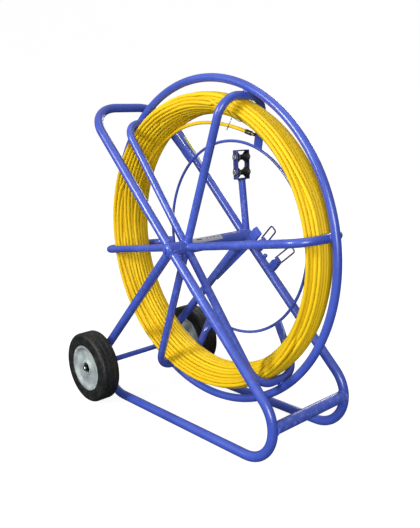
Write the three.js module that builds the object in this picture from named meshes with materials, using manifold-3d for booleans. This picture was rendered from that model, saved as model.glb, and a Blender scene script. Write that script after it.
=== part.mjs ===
// A wheeled duct rodder: a fibreglass rod wound inside a tube cage that turns on a wheeled tube frame.
// Millimetres. +X points to the front, where the frame rests on its floor tubes. +Y runs along the reel's
// axle, and +Z is up. The origin is on the floor, below the middle of the axle.
import * as THREE from "three";
import { mergeVertices } from "three/addons/utils/BufferGeometryUtils.js";
import Module from "manifold-3d";

const wasm = await Module();
wasm.setup();

// ---- driving dimensions ----
const GAP = 0.3; // clearance between pieces that touch
const TUBE_SIDES = 12;

const FRAME_TUBE = 12.5; // radius of the frame's tubes
const FRAME_TUBE_CLEAR = FRAME_TUBE / Math.cos(Math.PI / TUBE_SIDES) + GAP; // clears the tube's section
const FRAME_SIDE = 134; // distance of each side loop from the middle
const HUB_HEIGHT = 487;
const LOOP_CORNER_X = HUB_HEIGHT - FRAME_TUBE; // the loop's legs slope at 45 degrees
const LOOP_BENDS = { rear: 86.5, front: 92 };
const HANDLE_CORNER_X = -350;
const HANDLE_HEIGHT = 855;
const HANDLE_BEND = 95;
const CROSSBAR = { radius: 14.8, height: 108 };

const AXLE_ROD = 10; // radius of the fixed rod that the reel turns on
const AXLE_END = 153;
const AXLE_SCREW = { corners: 6, head: 5, shank: 3, length: 20, hole: 24 };
const COLLAR = { radius: 18, inner: 117.2, outer: 148.3 };

const WHEEL_RADIUS = 104;
const WHEEL_WIDTH = 56;
const WHEEL_SIDE = 192.5;
const WHEEL_FACETS = 30;
const WHEEL_AXLE = { radius: 8, stub: 6, proud: 4.5 }; // the thinner stubs carry the wheels
// Where the middle of a side loop's front bend is along X; the rear bend's is the same distance behind.
const bendMiddleX = (radius) => LOOP_CORNER_X - radius / Math.tan(Math.PI / 8);
const WHEEL_AXLE_X = FRAME_TUBE + WHEEL_AXLE.radius + 1.2 - bendMiddleX(LOOP_BENDS.rear) - LOOP_BENDS.rear;
const RIM_RADIUS = 68;
const WHEEL_BEARING = { radius: 16, half: 20 };

const CAGE_TUBE = 10.5; // radius of the hoop's and the spokes' tube
const HOOP_RADIUS = 427.5;
const HOOP_SIDE = -6;
const SPOKE_COUNT = 6;
const SPOKE_PHASE = 7.7; // degrees above +X of the first spoke
const SPOKE_SIDE = -82;
const SPOKE_BENDS = { near: 52, far: 60 };
const SPOKE_SLANT = Math.tan(Math.PI / 15); // the far run leans back towards the middle
const CROSSING_RADIUS = HOOP_RADIUS - 2 * CAGE_TUBE - 0.9; // where the spokes cross, inside the hoop
const RING_RADIUS = 266;
const RING_ROD = 4;
const RING_SIDE = 86;
const HUB_TUBE = { radius: 18, bore: 13.3, end: 116.5 };
const BUSH_LENGTH = 26;

const ROD_RADIUS = 4.75;
const TAIL_SIDE = 24;

const ARM_RADIUS = 10;
const ARM_FOOT = new THREE.Vector3(0, 140, HUB_HEIGHT);
const HEAD = { y: 126, z: 687, width: 46, depth: 18, height: 80, wall: 3 };
const ROLLER = { spread: 20.5, waist: 7.5, end: 16, halfLength: 19 };
const BOLT_RADIUS = 4;

const LATCH = { width: 22, depth: 16, height: 26.5, wire: 2.25, reach: 55 };
const LATCH_EAR = { width: 15.5, depth: 10, height: 13 };
// Each latch's distance down the front leg from the reel's axis, and how far its wire leans outwards.
const LATCHES = { upper: { place: 56, lean: 0 }, lower: { place: 126, lean: 27 } };
const LATCH_PIVOT = FRAME_TUBE + GAP + LATCH.height + LATCH_EAR.height / 2 + 1;
const PEG = { place: 88, radius: 6, height: 12.5 };
const BRACKET = { from: 8.5, to: 36, half: 4.5, foot: 9, bevel: 45, top: 52 };
const GUSSET = { inner: 11.6, depth: 28.5, length: 200, thickness: 6, side: FRAME_SIDE + 9.5 };

// ---- materials ----
function material(color, roughness, metalness) {
  return new THREE.MeshStandardMaterial({ color, roughness, metalness });
}

const FRAME_PAINT = material(0x4450c4, 0.35, 0.1);
const GUIDE_PAINT = material(0x26337f, 0.4, 0.1);
const ROD_YELLOW = material(0xf2bd0c, 0.35, 0);
const TYRE_RUBBER = material(0x1c1d1f, 0.85, 0);
const RIM_PLASTIC = material(0xc7ccd0, 0.45, 0);
const ZINC = material(0xb4b7ba, 0.35, 0.9);
const BLACK_NYLON = material(0x141416, 0.5, 0);

// ---- geometry helpers ----

// Straight runs joined by arcs, one bend radius for each inner corner. Its stations lie only where it
// turns, so a straight run costs no faces.
class BentPath extends THREE.Curve {
  constructor(corners, bendRadii = [], stepsPerBend = 1) {
    super();
    this.stations = [];
    const last = corners.length - 1;
    this.addStation(corners[0], corners[1].clone().sub(corners[0]).normalize());
    for (let i = 1; i < last; i++) {
      this.addBend(corners[i - 1], corners[i], corners[i + 1], bendRadii[i - 1], stepsPerBend);
    }
    this.addStation(corners[last], corners[last].clone().sub(corners[last - 1]).normalize());
  }

  addStation(point, tangent) {
    this.stations.push({ point: point.clone(), tangent: tangent.clone() });
  }

  addBend(before, corner, after, radius, steps) {
    const into = corner.clone().sub(before).normalize();
    const out = after.clone().sub(corner).normalize();
    const turn = into.angleTo(out);
    const axis = into.clone().cross(out).normalize();
    const start = corner.clone().addScaledVector(into, -radius * Math.tan(turn / 2));
    const centre = start.clone().addScaledVector(axis.clone().cross(into), radius);
    for (let k = 0; k <= steps; k++) {
      const angle = (turn * k) / steps;
      const point = start.clone().sub(centre).applyAxisAngle(axis, angle).add(centre);
      this.addStation(point, into.clone().applyAxisAngle(axis, angle));
    }
  }

  get steps() {
    return this.stations.length - 1;
  }

  stationAt(u) {
    return this.stations[Math.round(u * this.steps)];
  }

  getPointAt(u, target = new THREE.Vector3()) {
    return target.copy(this.stationAt(u).point);
  }

  getTangentAt(u, target = new THREE.Vector3()) {
    return target.copy(this.stationAt(u).tangent);
  }
}

// A regular polygon whose flats are at the radius, with a flat on each axis when the sides divide by 4.
function flatSidedSection(radius, sides) {
  const points = [];
  for (let k = 0; k < sides; k++) {
    const angle = ((k + 0.5) * 2 * Math.PI) / sides;
    const reach = radius / Math.cos(Math.PI / sides);
    points.push(new THREE.Vector2(reach * Math.cos(angle), reach * Math.sin(angle)));
  }
  return new THREE.Shape(points);
}

// Turns a geometry's faces to point outwards, by the sign of its volume, and keeps only its positions.
function facingOut(geometry) {
  const flat = geometry.index ? geometry.toNonIndexed() : geometry.clone();
  for (const name of Object.keys(flat.attributes)) {
    if (name !== "position") flat.deleteAttribute(name);
  }
  const position = flat.attributes.position;
  const corner = [0, 1, 2].map(() => new THREE.Vector3());
  const readCorner = (i) => corner.map((c, k) => c.fromBufferAttribute(position, i + k));
  let volume = 0;
  for (let i = 0; i < position.count; i += 3) {
    const [a, b, c] = readCorner(i);
    volume += a.dot(b.clone().cross(c));
  }
  if (volume < 0) {
    for (let i = 0; i < position.count; i += 3) {
      const [, b, c] = readCorner(i).map((v) => v.clone());
      position.setXYZ(i + 1, c.x, c.y, c.z);
      position.setXYZ(i + 2, b.x, b.y, b.z);
    }
  }
  const merged = mergeVertices(flat, 1e-4);
  merged.computeVertexNormals();
  return merged;
}

function tube(path, radius, sides = TUBE_SIDES) {
  const options = { steps: path.steps, extrudePath: path, bevelEnabled: false };
  return facingOut(new THREE.ExtrudeGeometry(flatSidedSection(radius, sides), options));
}

const straightTube = (from, to, radius, sides) => tube(new BentPath([from, to]), radius, sides);

// A solid of revolution about the Y axis from [radius, y] points; a ring's profile closes on itself.
function turned(profile, segments, isRing = false) {
  const points = profile.map(([radius, y]) => new THREE.Vector2(radius, y));
  if (isRing) points.push(points[0].clone());
  return facingOut(new THREE.LatheGeometry(points, segments));
}

const turnedRing = (profile, segments) => turned(profile, segments, true);

const sleeve = (bore, radius, from, to, segments = 20) =>
  turnedRing([[bore, from], [radius, from], [radius, to], [bore, to]], segments);

function torusAboutY(radius, rod, y, segments, sides) {
  const profile = [];
  for (let k = 0; k < sides; k++) {
    const angle = (k * 2 * Math.PI) / sides;
    profile.push([radius + rod * Math.cos(angle), y + rod * Math.sin(angle)]);
  }
  return turnedRing(profile, segments);
}

function box(width, depth, height, x = 0, y = 0, z = 0) {
  return facingOut(new THREE.BoxGeometry(width, depth, height).translate(x, y, z));
}

function toManifold(geometry) {
  const bare = facingOut(geometry);
  return new wasm.Manifold(new wasm.Mesh({
    numProp: 3,
    vertProperties: new Float32Array(bare.attributes.position.array),
    triVerts: new Uint32Array(bare.index.array),
  }));
}

function fromManifold(solid) {
  const mesh = solid.getMesh();
  const geometry = new THREE.BufferGeometry();
  geometry.setAttribute("position", new THREE.BufferAttribute(mesh.vertProperties, 3));
  geometry.setIndex(new THREE.BufferAttribute(mesh.triVerts, 1));
  geometry.computeVertexNormals();
  return geometry;
}

function cut(geometry, ...tools) {
  const solid = tools.reduce((left, tool) => left.subtract(toManifold(tool)), toManifold(geometry));
  return fromManifold(solid);
}

function join(...geometries) {
  const [first, ...others] = geometries.map(toManifold);
  return fromManifold(others.reduce((sum, other) => sum.add(other), first));
}

function named(name, geometry, paint) {
  const mesh = new THREE.Mesh(geometry, paint);
  mesh.name = name;
  return mesh;
}

// ---- the frame ----

const hubPoint = (y, angleDegrees, distance) => {
  const angle = THREE.MathUtils.degToRad(angleDegrees);
  return new THREE.Vector3(distance * Math.cos(angle), y, HUB_HEIGHT + distance * Math.sin(angle));
};
const TUBE_START = COLLAR.radius + 0.5;
const HANDLE_ANGLE = THREE.MathUtils.radToDeg(Math.atan2(HANDLE_HEIGHT - HUB_HEIGHT, HANDLE_CORNER_X));

function sideLoop(y) {
  const corners = [
    hubPoint(y, -135, TUBE_START),
    new THREE.Vector3(-LOOP_CORNER_X, y, FRAME_TUBE),
    new THREE.Vector3(LOOP_CORNER_X, y, FRAME_TUBE),
    hubPoint(y, -45, TUBE_START),
  ];
  return tube(new BentPath(corners, [LOOP_BENDS.rear, LOOP_BENDS.front], 9), FRAME_TUBE);
}

function handleBow() {
  const corners = [
    hubPoint(-FRAME_SIDE, HANDLE_ANGLE, TUBE_START),
    new THREE.Vector3(HANDLE_CORNER_X, -FRAME_SIDE, HANDLE_HEIGHT),
    new THREE.Vector3(HANDLE_CORNER_X, FRAME_SIDE, HANDLE_HEIGHT),
    hubPoint(FRAME_SIDE, HANDLE_ANGLE, TUBE_START),
  ];
  return tube(new BentPath(corners, [HANDLE_BEND, HANDLE_BEND], 7), FRAME_TUBE);
}

function axleCollar(side) {
  const [from, to] = side < 0 ? [-COLLAR.outer, -COLLAR.inner] : [COLLAR.inner, COLLAR.outer];
  return sleeve(AXLE_ROD + GAP, COLLAR.radius, from, to);
}

function reelAxle() {
  const drill = AXLE_SCREW.shank + GAP;
  const floor = AXLE_END - AXLE_SCREW.hole;
  return turned([
    [0, -floor], [drill, -floor], [drill, -AXLE_END], [AXLE_ROD, -AXLE_END],
    [AXLE_ROD, AXLE_END], [drill, AXLE_END], [drill, floor], [0, floor],
  ], 20);
}

// A hexagon-headed screw along -Y, its head's underside at y = 0.
function hexScrew(acrossCorners, headHeight, shank, length) {
  const head = new THREE.CylinderGeometry(acrossCorners, acrossCorners, headHeight, 6);
  const stem = new THREE.CylinderGeometry(shank, shank, length + 1, 12);
  return join(head.translate(0, headHeight / 2, 0), stem.translate(0, (1 - length) / 2, 0));
}

// A hexagon nut about Y. Its hole is a hexagon whose flats clear the bolt.
function hexNut(acrossCorners, bolt, from, to) {
  return sleeve((bolt + GAP) / Math.cos(Math.PI / 6), acrossCorners, from, to, 6);
}

function axleScrew(side) {
  const name = side < 0 ? "axle_screw_near" : "axle_screw_far";
  const { corners, head, shank, length } = AXLE_SCREW;
  const screw = named(name, hexScrew(corners, head, shank, length), FRAME_PAINT);
  screw.position.set(0, side * (AXLE_END + GAP), HUB_HEIGHT);
  screw.rotation.z = side < 0 ? Math.PI : 0;
  return screw;
}

function strutGusset() {
  const { inner, depth, length, thickness, side } = GUSSET;
  const start = FRAME_TUBE_CLEAR + 0.5;
  const outline = new THREE.Shape([
    new THREE.Vector2(start + 3.5, inner), new THREE.Vector2(length, inner),
    new THREE.Vector2(start, depth), new THREE.Vector2(start, inner + 4),
  ]);
  const plate = new THREE.ExtrudeGeometry(outline, { depth: thickness, bevelEnabled: false });
  const alongStrut = new THREE.Vector3(-1, 0, -1).normalize();
  const belowStrut = new THREE.Vector3(1, 0, -1).normalize();
  const across = alongStrut.clone().cross(belowStrut);
  plate.translate(0, 0, -thickness / 2);
  plate.applyMatrix4(new THREE.Matrix4().makeBasis(alongStrut, belowStrut, across));
  return facingOut(plate.translate(0, side, HUB_HEIGHT));
}

function makeFrame() {
  const frame = new THREE.Group();
  for (const [label, side] of [["near", -1], ["far", 1]]) {
    const loop = named(`side_loop_${label}`, sideLoop(side * FRAME_SIDE), FRAME_PAINT);
    const collar = named(`axle_collar_${label}`, axleCollar(side), FRAME_PAINT);
    collar.position.z = HUB_HEIGHT;
    frame.add(loop, collar, axleScrew(side));
  }
  const axle = named("reel_axle", reelAxle(), FRAME_PAINT);
  axle.position.z = HUB_HEIGHT;
  const barEnd = FRAME_SIDE - FRAME_TUBE - 0.4;
  const { front } = LOOP_BENDS;
  const rise = CROSSBAR.height - FRAME_TUBE - front; // above the middle of the front bends
  const barX = bendMiddleX(front) + Math.hypot(front, rise);
  const barPoint = (y) => new THREE.Vector3(barX, y, CROSSBAR.height);
  const bar = straightTube(barPoint(-barEnd), barPoint(barEnd), CROSSBAR.radius);
  frame.add(named("handle_bow", handleBow(), FRAME_PAINT), axle);
  frame.add(named("front_crossbar", bar, FRAME_PAINT), named("strut_gusset", strutGusset(), FRAME_PAINT));
  return frame;
}

// ---- the wheels ----

function wheelAxle() {
  const { radius, stub, proud } = WHEEL_AXLE;
  const end = WHEEL_SIDE + WHEEL_WIDTH / 2 + proud;
  const shoulder = WHEEL_SIDE - WHEEL_BEARING.half - GAP;
  const half = [[radius, shoulder], [stub, shoulder], [stub, end - 1], [stub - 1, end], [0, end]];
  const mirrored = half.map(([reach, y]) => [reach, -y]).reverse();
  return turned([...mirrored, ...half], 20);
}

function tyre() {
  const half = WHEEL_WIDTH / 2;
  const seat = RIM_RADIUS + GAP;
  return turnedRing([
    [seat, -half], [WHEEL_RADIUS - 8, -half], [WHEEL_RADIUS - 3, -half + 2.5], [WHEEL_RADIUS, -half + 7],
    [WHEEL_RADIUS, half - 7], [WHEEL_RADIUS - 3, half - 2.5], [WHEEL_RADIUS - 8, half], [seat, half],
  ], WHEEL_FACETS);
}

function wheelRim() {
  const lip = WHEEL_WIDTH / 2 - 1;
  const bore = WHEEL_BEARING.radius + GAP;
  const halfProfile = [[bore, 24], [20, 24], [23, 19], [55, 19], [61, lip], [RIM_RADIUS, lip]];
  const mirrored = halfProfile.map(([radius, y]) => [radius, -y]).reverse();
  return turnedRing([...halfProfile, ...mirrored], WHEEL_FACETS);
}

function makeWheel(label, side) {
  const wheel = new THREE.Group();
  wheel.position.set(WHEEL_AXLE_X, side * WHEEL_SIDE, WHEEL_RADIUS);
  const { radius, half } = WHEEL_BEARING;
  const bearing = sleeve(WHEEL_AXLE.stub + GAP, radius, -half, half);
  wheel.add(named(`tyre_${label}`, tyre(), TYRE_RUBBER));
  wheel.add(named(`wheel_rim_${label}`, wheelRim(), RIM_PLASTIC));
  wheel.add(named(`wheel_bearing_${label}`, bearing, BLACK_NYLON));
  return wheel;
}

function makeWheelFixings(label, side) {
  const fixings = new THREE.Group();
  fixings.position.set(WHEEL_AXLE_X, side * WHEEL_SIDE, WHEEL_RADIUS);
  fixings.rotation.z = side < 0 ? Math.PI : 0;
  const face = WHEEL_BEARING.half + GAP;
  const spacerStart = FRAME_SIDE + FRAME_TUBE + GAP - WHEEL_SIDE;
  const spacer = sleeve(WHEEL_AXLE.radius + GAP, 12, spacerStart, -face - GAP, 20);
  const nut = hexNut(10, WHEEL_AXLE.stub, face, face + 8);
  fixings.add(named(`wheel_spacer_${label}`, spacer, ZINC), named(`wheel_nut_${label}`, nut, ZINC));
  return fixings;
}

// ---- the reel: a cage of bent spokes with the rod wound inside it ----

const SPOKE_END = RING_RADIUS + RING_ROD + GAP + 0.2;

const FLAT = { from: RING_RADIUS + 55, to: RING_RADIUS + 30 };
const farRunSide = (x) => RING_SIDE - (x - SPOKE_END) * SPOKE_SLANT;
const farRunPoint = (x) => new THREE.Vector3(x, farRunSide(x), 0);

// A spoke in the cage's XY plane: out from the hub, across the winding, and slanting in to the far ring.
// Its last stretch is squashed flat and flared where it is welded to the ring.
function spoke() {
  const corners = [
    new THREE.Vector3(HUB_TUBE.radius + 0.8, SPOKE_SIDE, 0),
    new THREE.Vector3(CROSSING_RADIUS, SPOKE_SIDE, 0),
    farRunPoint(CROSSING_RADIUS),
    farRunPoint(FLAT.from),
  ];
  const path = new BentPath(corners, [SPOKE_BENDS.near, SPOKE_BENDS.far], 5);
  const inwards = corners[3].clone().sub(corners[2]).normalize();
  path.addStation(farRunPoint(FLAT.to), inwards);
  path.addStation(farRunPoint(SPOKE_END), new THREE.Vector3(-1, 0, 0));
  const geometry = tube(path, CAGE_TUBE, 8);
  flattenEnd(geometry.attributes.position);
  return geometry;
}

function flattenEnd(position) {
  for (let i = 0; i < position.count; i++) {
    const middle = farRunSide(position.getX(i));
    if (Math.abs(position.getY(i) - middle) > 2 * CAGE_TUBE) continue;
    const amount = THREE.MathUtils.clamp((FLAT.from - position.getX(i)) / (FLAT.from - FLAT.to), 0, 1);
    position.setY(i, middle + (position.getY(i) - middle) * (1 - 0.62 * amount));
    position.setZ(i, position.getZ(i) * (1 + 0.45 * amount));
  }
}

// The winding's outer shape: wide where it lies on the crossings and narrow at its inner edge.
function rodCoil() {
  const seat = CROSSING_RADIUS - CAGE_TUBE - 1;
  return turnedRing([
    [seat, -30], [390.5, -46], [383, -56], [376, -54], [362, -38], [350, -22], [339, 2],
    [337.5, 34], [341, 43], [350, 52], [364, 52.5], [379, 43], [390, 27], [seat, 8],
  ], 48);
}

function rodTail() {
  const start = new THREE.Vector3(-140, TAIL_SIDE, 300.2);
  const bow = new THREE.Vector3(-30, TAIL_SIDE, 336.5);
  const end = new THREE.Vector3(122, TAIL_SIDE, 291);
  const curve = new THREE.QuadraticBezierCurve3(start, bow, end);
  const options = { steps: 10, extrudePath: curve, bevelEnabled: false };
  const bent = new THREE.ExtrudeGeometry(flatSidedSection(ROD_RADIUS, 8), options);
  const tail = named("rod_tail", facingOut(bent), ROD_YELLOW);
  const ferrule = turned([[0, 0.4], [6, 0.4], [6, 20], [4.2, 23], [4.2, 32], [0, 32]], 12);
  const tip = named("rod_tip", ferrule, ZINC);
  tip.position.copy(end);
  tip.quaternion.setFromUnitVectors(new THREE.Vector3(0, 1, 0), end.clone().sub(bow).normalize());
  return [tail, tip];
}

function makeReel() {
  const reel = new THREE.Group();
  reel.position.z = HUB_HEIGHT;
  const { bore, radius, end } = HUB_TUBE;
  reel.add(named("hub_tube", sleeve(bore, radius, -end, end), FRAME_PAINT));
  for (const [label, side] of [["near", -1], ["far", 1]]) {
    const [from, to] = side < 0 ? [1 - end, 1 - end + BUSH_LENGTH] : [end - 1 - BUSH_LENGTH, end - 1];
    reel.add(named(`hub_bush_${label}`, sleeve(AXLE_ROD + GAP, bore - GAP, from, to), BLACK_NYLON));
  }
  for (let k = 0; k < SPOKE_COUNT; k++) {
    const bent = named(`spoke_${k + 1}`, spoke(), FRAME_PAINT);
    bent.rotation.y = -THREE.MathUtils.degToRad(SPOKE_PHASE + (360 / SPOKE_COUNT) * k);
    reel.add(bent);
  }
  reel.add(named("hoop", torusAboutY(HOOP_RADIUS, CAGE_TUBE, HOOP_SIDE, 64, 8), FRAME_PAINT));
  reel.add(named("far_ring", torusAboutY(RING_RADIUS, RING_ROD, RING_SIDE, 48, 6), FRAME_PAINT));
  reel.add(named("rod_coil", rodCoil(), ROD_YELLOW), ...rodTail());
  return reel;
}

// ---- the rod guide: an arm with two waisted rollers in a box ----

function guideArm() {
  const top = new THREE.Vector3(0, HEAD.y, HEAD.z - HEAD.height / 2 - 1.7);
  const collar = new THREE.CylinderGeometry(COLLAR.radius + GAP, COLLAR.radius + GAP, 80, 48);
  const handleLeg = straightTube(
    hubPoint(FRAME_SIDE, HANDLE_ANGLE, 0), hubPoint(FRAME_SIDE, HANDLE_ANGLE, 150), FRAME_TUBE_CLEAR, 24);
  collar.translate(0, FRAME_SIDE, HUB_HEIGHT);
  return cut(straightTube(ARM_FOOT, top, ARM_RADIUS), collar, handleLeg);
}

function guideHead() {
  const { width, depth, height, wall } = HEAD;
  const hole = BOLT_RADIUS + GAP;
  const bolts = [-1, 1].map((side) =>
    new THREE.CylinderGeometry(hole, hole, width + 2, 16).translate(0, 0, side * ROLLER.spread));
  return cut(box(depth, width, height), box(depth + 2, width - 2 * wall, height - 2 * wall), ...bolts);
}

function roller() {
  const { waist, end, halfLength } = ROLLER;
  const bore = BOLT_RADIUS + GAP;
  const radiusAt = (u) => waist + (end - waist) * u * u;
  const outline = [-1, -0.7, -0.35, 0, 0.35, 0.7, 1].map((u) => [radiusAt(u), u * halfLength]);
  return turnedRing([[bore, -halfLength], ...outline, [bore, halfLength]], 18);
}

function makeGuide() {
  const guide = new THREE.Group();
  const head = new THREE.Group();
  head.position.set(0, HEAD.y, HEAD.z);
  head.add(named("guide_head", guideHead(), GUIDE_PAINT));
  const face = HEAD.width / 2 + GAP;
  for (const [label, side] of [["upper", 1], ["lower", -1]]) {
    const height = side * ROLLER.spread;
    const bolt = named(`guide_bolt_${label}`, hexScrew(7.5, 5, BOLT_RADIUS, HEAD.width + 10), ZINC);
    bolt.position.set(0, -face, height);
    bolt.rotation.z = Math.PI;
    const nut = named(`guide_nut_${label}`, hexNut(7.5, BOLT_RADIUS, face, face + 6), ZINC);
    const spool = named(`guide_roller_${label}`, roller(), BLACK_NYLON);
    nut.position.z = height;
    spool.position.z = height;
    head.add(bolt, nut, spool);
  }
  guide.add(named("guide_arm", guideArm(), FRAME_PAINT), head);
  return guide;
}

// ---- what stands on the far front leg: a bevelled bracket, a peg and two wire latches ----
// They are made with X down the leg, Z square to it and the origin on the reel's axis, then turned together.

function legBracket() {
  const { from, to, half, foot, bevel, top } = BRACKET;
  const section = new THREE.Shape([
    new THREE.Vector2(-half, foot), new THREE.Vector2(half, foot),
    new THREE.Vector2(half, top), new THREE.Vector2(-half, bevel),
  ]);
  const blank = new THREE.ExtrudeGeometry(section, { depth: to - from, bevelEnabled: false });
  const [alongY, alongZ, alongX] = [[0, 1, 0], [0, 0, 1], [1, 0, 0]].map((v) => new THREE.Vector3(...v));
  blank.applyMatrix4(new THREE.Matrix4().makeBasis(alongY, alongZ, alongX)).translate(from, 0, 0);
  const leg = straightTube(new THREE.Vector3(), new THREE.Vector3(200, 0, 0), FRAME_TUBE_CLEAR, 24);
  const collar = new THREE.CylinderGeometry(COLLAR.radius + GAP, COLLAR.radius + GAP, 80, 48);
  return cut(blank, leg, collar);
}

function latchBlock() {
  const base = FRAME_TUBE + GAP;
  const body = box(LATCH.width, LATCH.depth, LATCH.height, 0, 0, base + LATCH.height / 2);
  const earMiddle = base + LATCH.height + (LATCH_EAR.height - 1) / 2;
  const ear = box(LATCH_EAR.width, LATCH_EAR.depth, LATCH_EAR.height + 1, 0, 0, earMiddle);
  const bore = LATCH.wire + GAP + 0.2;
  const hole = new THREE.CylinderGeometry(bore, bore, LATCH.width + 2, 12);
  hole.rotateZ(Math.PI / 2).translate(0, 0, LATCH_PIVOT);
  return cut(join(body, ear), hole);
}

// A closed link of wire about the pivot at its origin.
function latchBail() {
  const half = LATCH_EAR.width / 2 + LATCH.wire + 0.6;
  const tip = LATCH.reach - LATCH.wire;
  const corners = [
    new THREE.Vector3(-half, 0, 0), new THREE.Vector3(-half, 0, tip),
    new THREE.Vector3(half, 0, tip), new THREE.Vector3(half, 0, 0),
  ];
  const bow = tube(new BentPath(corners, [6, 6], 4), LATCH.wire, 8);
  const bar = straightTube(
    new THREE.Vector3(-half - LATCH.wire, 0, 0), new THREE.Vector3(half + LATCH.wire, 0, 0), LATCH.wire, 8);
  return join(bow, bar);
}

function makeLegFittings() {
  const fittings = new THREE.Group();
  fittings.position.set(0, FRAME_SIDE, HUB_HEIGHT);
  fittings.rotation.y = Math.PI / 4;
  const pegFoot = FRAME_TUBE + GAP;
  const { radius, height } = PEG;
  const peg = turned([[0, 0], [radius, 0], [radius, height - 2], [radius - 2, height], [0, height]], 16);
  peg.rotateX(Math.PI / 2).translate(PEG.place, 0, pegFoot);
  fittings.add(named("leg_bracket", legBracket(), FRAME_PAINT), named("leg_peg", peg, FRAME_PAINT));
  for (const [label, { place, lean }] of Object.entries(LATCHES)) {
    const block = named(`latch_block_${label}`, latchBlock(), FRAME_PAINT);
    const bail = named(`latch_bail_${label}`, latchBail(), GUIDE_PAINT);
    block.position.x = place;
    bail.position.set(place, 0, LATCH_PIVOT);
    bail.rotation.x = -THREE.MathUtils.degToRad(lean);
    fittings.add(block, bail);
  }
  return fittings;
}

// ---- the whole object ----

const ductRodder = new THREE.Group();
const wheelRod = named("wheel_axle", wheelAxle(), FRAME_PAINT);
wheelRod.position.set(WHEEL_AXLE_X, 0, WHEEL_RADIUS);
ductRodder.add(makeFrame(), wheelRod, makeReel(), makeGuide(), makeLegFittings());
for (const [label, side] of [["near", -1], ["far", 1]]) {
  ductRodder.add(makeWheel(label, side), makeWheelFixings(label, side));
}

export default ductRodder;
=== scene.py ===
"""A wheeled duct rodder: fibreglass rod wound in a tube cage that turns on a wheeled tube frame.

Lengths are in millimetres, as in the CAD source, until a mesh is made. +X is the front, +Y runs along the
reel's axle to the side with the rod guide, and +Z is up.
"""

import math

import bmesh
import bpy
import numpy as np
from mathutils import Matrix, Vector


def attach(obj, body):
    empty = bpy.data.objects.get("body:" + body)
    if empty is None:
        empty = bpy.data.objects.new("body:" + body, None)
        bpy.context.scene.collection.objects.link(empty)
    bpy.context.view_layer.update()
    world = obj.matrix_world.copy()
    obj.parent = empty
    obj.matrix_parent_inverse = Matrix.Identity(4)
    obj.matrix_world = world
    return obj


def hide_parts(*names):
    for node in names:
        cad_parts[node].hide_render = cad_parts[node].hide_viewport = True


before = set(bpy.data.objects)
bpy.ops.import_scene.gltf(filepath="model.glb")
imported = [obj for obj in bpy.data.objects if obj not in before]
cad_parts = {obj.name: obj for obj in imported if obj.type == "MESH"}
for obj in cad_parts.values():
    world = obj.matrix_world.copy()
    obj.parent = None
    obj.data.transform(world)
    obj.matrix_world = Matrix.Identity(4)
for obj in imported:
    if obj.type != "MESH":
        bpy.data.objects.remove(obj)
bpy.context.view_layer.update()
MM = 0.001
GAP = 0.3  # clearance between pieces that touch

# ---- dimensions from the CAD source: tubes, rods and axles by radius, sides along Y ----
FRAME_TUBE = 12.5
FRAME_SIDE = 134
HUB_HEIGHT = 487
LOOP_CORNER_X = HUB_HEIGHT - FRAME_TUBE
REAR_BEND = 86.5
FRONT_BEND = 92
HANDLE_CORNER_X = -350
HANDLE_HEIGHT = 855
HANDLE_BEND = 95
AXLE_ROD = 10
CROSSBAR_RADIUS = 14.8
CROSSBAR_HEIGHT = 108
CROSSBAR_SHORT = 6  # each end stops this far from its loop's middle
CROSSBAR_X = (LOOP_CORNER_X - FRONT_BEND / math.tan(math.pi / 8)
              + math.sqrt(FRONT_BEND ** 2 - (CROSSBAR_HEIGHT - FRAME_TUBE - FRONT_BEND) ** 2))
COLLAR_RADIUS = 18
COLLAR_SPAN = (117.2, 148.3)
WHEEL_RADIUS = 104
WHEEL_WIDTH = 56
WHEEL_SIDE = 192.5
WHEEL_AXLE = 8
WHEEL_STUB = 6
BEARING_RADIUS = 16
BEARING_HALF = 20
WHEEL_AXLE_X = FRAME_TUBE + WHEEL_AXLE + 1.2 - LOOP_CORNER_X + REAR_BEND / math.tan(math.pi / 8) - REAR_BEND
RIM_RADIUS = 68
CAGE_TUBE = 10.5
HOOP_RADIUS = 427.5
HOOP_SIDE = -6
SPOKE_COUNT = 6
SPOKE_PHASE = 7.7
SPOKE_SIDE = -82
SPOKE_BENDS = (52, 60)
SPOKE_SLANT = math.tan(math.pi / 15)
CROSSING_RADIUS = HOOP_RADIUS - 2 * CAGE_TUBE - 0.9
RING_RADIUS = 266
RING_ROD = 4
RING_SIDE = 86
SPOKE_END = RING_RADIUS + RING_ROD + 0.5
HUB_TUBE_RADIUS = 18
HUB_TUBE_BORE = 13.3
HUB_TUBE_END = 116.5
ROD_RADIUS = 4.75
ROD_SIDES = 10
TAIL_SIDE = 24
ARM_RADIUS = 10
ARM_SIDE = 138.6  # the guide's arm where it meets the collar
HEAD_SIDE = 126
HEAD_HEIGHT = 687
HEAD_TALL = 80
ROLLER_SPREAD = 20.5
SQUARE = math.sqrt(0.5)
HUB = np.array([0.0, 0.0, HUB_HEIGHT])
ENDS = (("near", -1), ("far", 1))


# ---- mesh building ----
def full_turn(count):
    """Evenly spaced angles round a full turn."""
    return np.arange(count) * 2 * math.pi / count


def unit(vector):
    vector = np.asarray(vector, float)
    return vector / np.linalg.norm(vector, axis=-1, keepdims=True)


def bent_path(corners, radii, steps=14):
    """Points along straight runs joined by arcs; the straight runs have no points between their ends."""
    corners = [np.asarray(c, float) for c in corners]
    points = [corners[0]]
    for before, corner, after, radius in zip(corners, corners[1:], corners[2:], radii):
        into, out = unit(corner - before), unit(after - corner)
        turn = math.acos(np.clip(into @ out, -1, 1))
        inward = unit(out - into)
        centre = corner + inward * radius / math.cos(turn / 2)
        start = corner - into * radius * math.tan(turn / 2)
        for k in range(steps + 1):
            angle = turn * k / steps
            points.append(centre + (start - centre) * math.cos(angle) + into * radius * math.sin(angle))
    points.append(corners[-1])
    return np.array(points)


def tangents_of(points, closed):
    if closed:
        return unit(np.roll(points, -1, 0) - np.roll(points, 1, 0))
    return unit(np.gradient(points, axis=0))


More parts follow.
